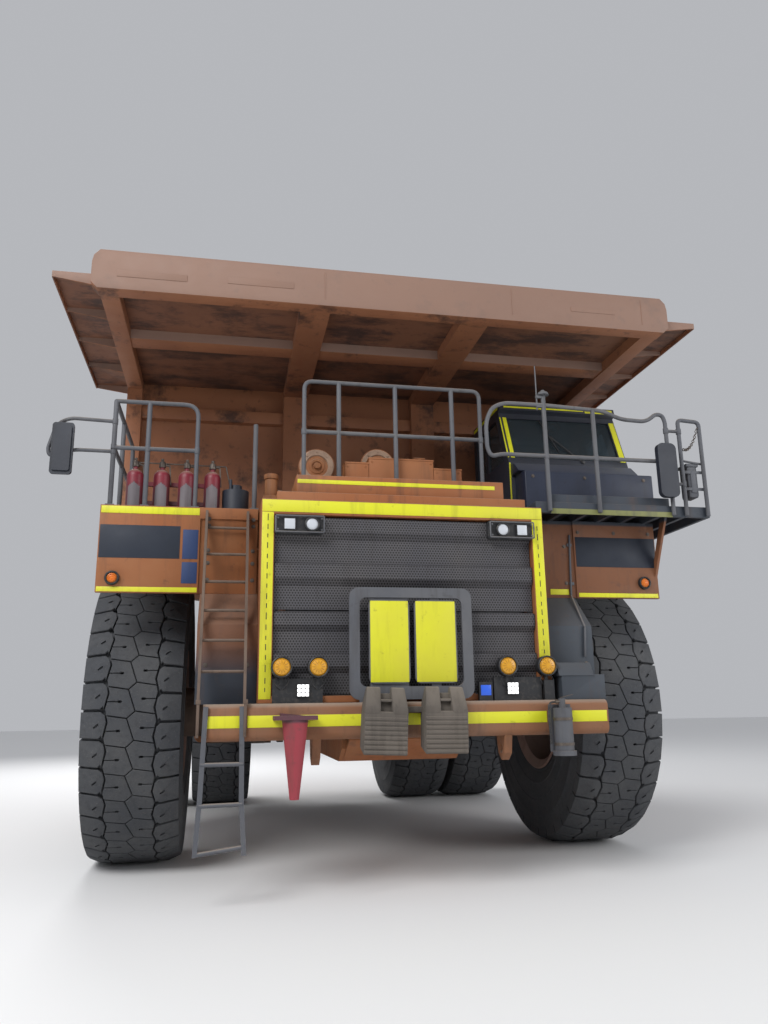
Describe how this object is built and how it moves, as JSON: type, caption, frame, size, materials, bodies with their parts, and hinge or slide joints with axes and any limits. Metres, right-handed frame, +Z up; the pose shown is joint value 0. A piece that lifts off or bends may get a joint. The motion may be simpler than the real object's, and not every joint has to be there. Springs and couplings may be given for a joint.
{
  "type": "mining dump truck",
  "caption": "Rigid mining dump truck with tipping bed and canopy, hoists, steered front wheels, twin rear wheels, cab with opening door, decks, rails, ladders and lamps.",
  "frame": {"origin": "ground level under the middle of the truck's outline", "axes": "+X towards the truck's left, which is the cab's side; +Y towards the tail; +Z up"},
  "size_m": [6.644, 10.916, 5.78],
  "materials": {
    "body_paint": "matt",
    "dust_paint": "matt",
    "yellow_paint": "satin",
    "grey_paint": "matt",
    "dark_paint": "satin",
    "blue_paint": "satin",
    "red_paint": "matt",
    "glass": "gloss",
    "seat_cloth": "matt",
    "dark_plastic": "matt",
    "tyre": "matt",
    "chrome": "polished"
  },
  "bodies": {
    "chassis": {"frame": "body_paint", "front_bumper": "body_paint", "belly_guard": "body_paint", "radiator_guard": "yellow_paint", "grille": "dark_paint", "engine_block": "grey_paint", "hood": "body_paint", "air_cleaners": "body_paint", "right_deck": "body_paint", "cab_deck": "grey_paint", "lower_panels": "grey_paint", "ladder": "grey_paint", "hanging_ladder": "grey_paint", "right_handrail": "grey_paint", "centre_handrail": "grey_paint", "cab_handrail": "grey_paint", "mirrors": "dark_paint", "cab_shell": "dark_paint", "cab_glass": "glass", "operator_seat": "seat_cloth", "cab_controls": "dark_plastic", "front_box": "blue_paint", "fire_bottles": "red_paint", "deck_tank": "dark_paint", "lamps": "dark_paint", "sign_frame": "grey_paint", "wheel_chocks": "dust_paint", "traffic_cone": "red_paint", "extinguisher": "grey_paint", "fuel_tank": "body_paint", "hydraulic_tank": "body_paint", "front_struts": "body_paint", "rear_struts": "body_paint", "rear_axle": "body_paint"},
    "left_steer": {"left_knuckle": "body_paint"},
    "right_steer": {"right_knuckle": "body_paint"},
    "front_left_wheel": {"front_left_tyre": "tyre", "front_left_rim": "dust_paint"},
    "front_right_wheel": {"front_right_tyre": "tyre", "front_right_rim": "dust_paint"},
    "rear_left_wheels": {"rear_left_tyres": "tyre", "rear_left_rims": "dust_paint"},
    "rear_right_wheels": {"rear_right_tyres": "tyre", "rear_right_rims": "dust_paint"},
    "cab_door_leaf": {"cab_door": "dark_paint", "door_glass": "glass"},
    "bed": {"dump_bed": "body_paint", "canopy": "dust_paint"},
    "left_barrel": {"left_hoist_barrel": "body_paint"},
    "left_tube": {"left_hoist_tube": "chrome"},
    "left_rod": {"left_hoist_rod": "chrome"},
    "right_barrel": {"right_hoist_barrel": "body_paint"},
    "right_tube": {"right_hoist_tube": "chrome"},
    "right_rod": {"right_hoist_rod": "chrome"}
  },
  "joints": [
    {"name": "bed_lift", "type": "hinge", "parent": "chassis", "child": "bed", "pos_m": [0, 3.145, 2.3], "axis": [-1, 0, 0], "range_deg": [0, 45]},
    {"name": "left_steering", "type": "hinge", "parent": "chassis", "child": "left_steer", "pos_m": [1.62, -2.785, 1.5], "axis": [0, 0, 1], "range_deg": [-36, 36]},
    {"name": "right_steering", "type": "hinge", "parent": "chassis", "child": "right_steer", "pos_m": [-1.62, -2.785, 1.5], "axis": [0, 0, 1], "range_deg": [-36, 36]},
    {"name": "front_left_spin", "type": "hinge", "parent": "left_steer", "child": "front_left_wheel", "pos_m": [2.44, -2.785, 1.5], "axis": [1, 0, 0], "continuous": true},
    {"name": "front_right_spin", "type": "hinge", "parent": "right_steer", "child": "front_right_wheel", "pos_m": [-2.44, -2.785, 1.5], "axis": [1, 0, 0], "continuous": true},
    {"name": "rear_left_spin", "type": "hinge", "parent": "chassis", "child": "rear_left_wheels", "pos_m": [2.115, 2.395, 1.5], "axis": [1, 0, 0], "continuous": true},
    {"name": "rear_right_spin", "type": "hinge", "parent": "chassis", "child": "rear_right_wheels", "pos_m": [-2.115, 2.395, 1.5], "axis": [1, 0, 0], "continuous": true},
    {"name": "cab_door_hinge", "type": "hinge", "parent": "chassis", "child": "cab_door_leaf", "pos_m": [2.93, -2.857, 4.1], "axis": [0, 0, 1], "range_deg": [0, 85]},
    {"name": "left_hoist_swing", "type": "hinge", "parent": "chassis", "child": "left_barrel", "pos_m": [0.945, 0.49572, 1.12046], "axis": [-1, 0, 0], "range_deg": [0, 23]},
    {"name": "left_tube_slide", "type": "slide", "parent": "left_barrel", "child": "left_tube", "axis": [0, -0.1045, 0.9945], "range_m": [0, 0.99]},
    {"name": "left_rod_slide", "type": "slide", "parent": "left_tube", "child": "left_rod", "axis": [0, -0.1045, 0.9945], "range_m": [0, 0.99]},
    {"name": "right_hoist_swing", "type": "hinge", "parent": "chassis", "child": "right_barrel", "pos_m": [-0.945, 0.49572, 1.12046], "axis": [-1, 0, 0], "range_deg": [0, 23]},
    {"name": "right_tube_slide", "type": "slide", "parent": "right_barrel", "child": "right_tube", "axis": [0, -0.1045, 0.9945], "range_m": [0, 0.99]},
    {"name": "right_rod_slide", "type": "slide", "parent": "right_tube", "child": "right_rod", "axis": [0, -0.1045, 0.9945], "range_m": [0, 0.99]}
  ],
  "couplings": [
    {"joint": "right_steering", "follows": "left_steering", "ratio": 1},
    {"joint": "left_hoist_swing", "follows": "bed_lift", "ratio": 0.5},
    {"joint": "left_tube_slide", "follows": "bed_lift", "m_per_rad": 1.257},
    {"joint": "left_rod_slide", "follows": "bed_lift", "m_per_rad": 1.257},
    {"joint": "right_hoist_swing", "follows": "bed_lift", "ratio": 0.5},
    {"joint": "right_tube_slide", "follows": "bed_lift", "m_per_rad": 1.257},
    {"joint": "right_rod_slide", "follows": "bed_lift", "m_per_rad": 1.257}
  ]
}
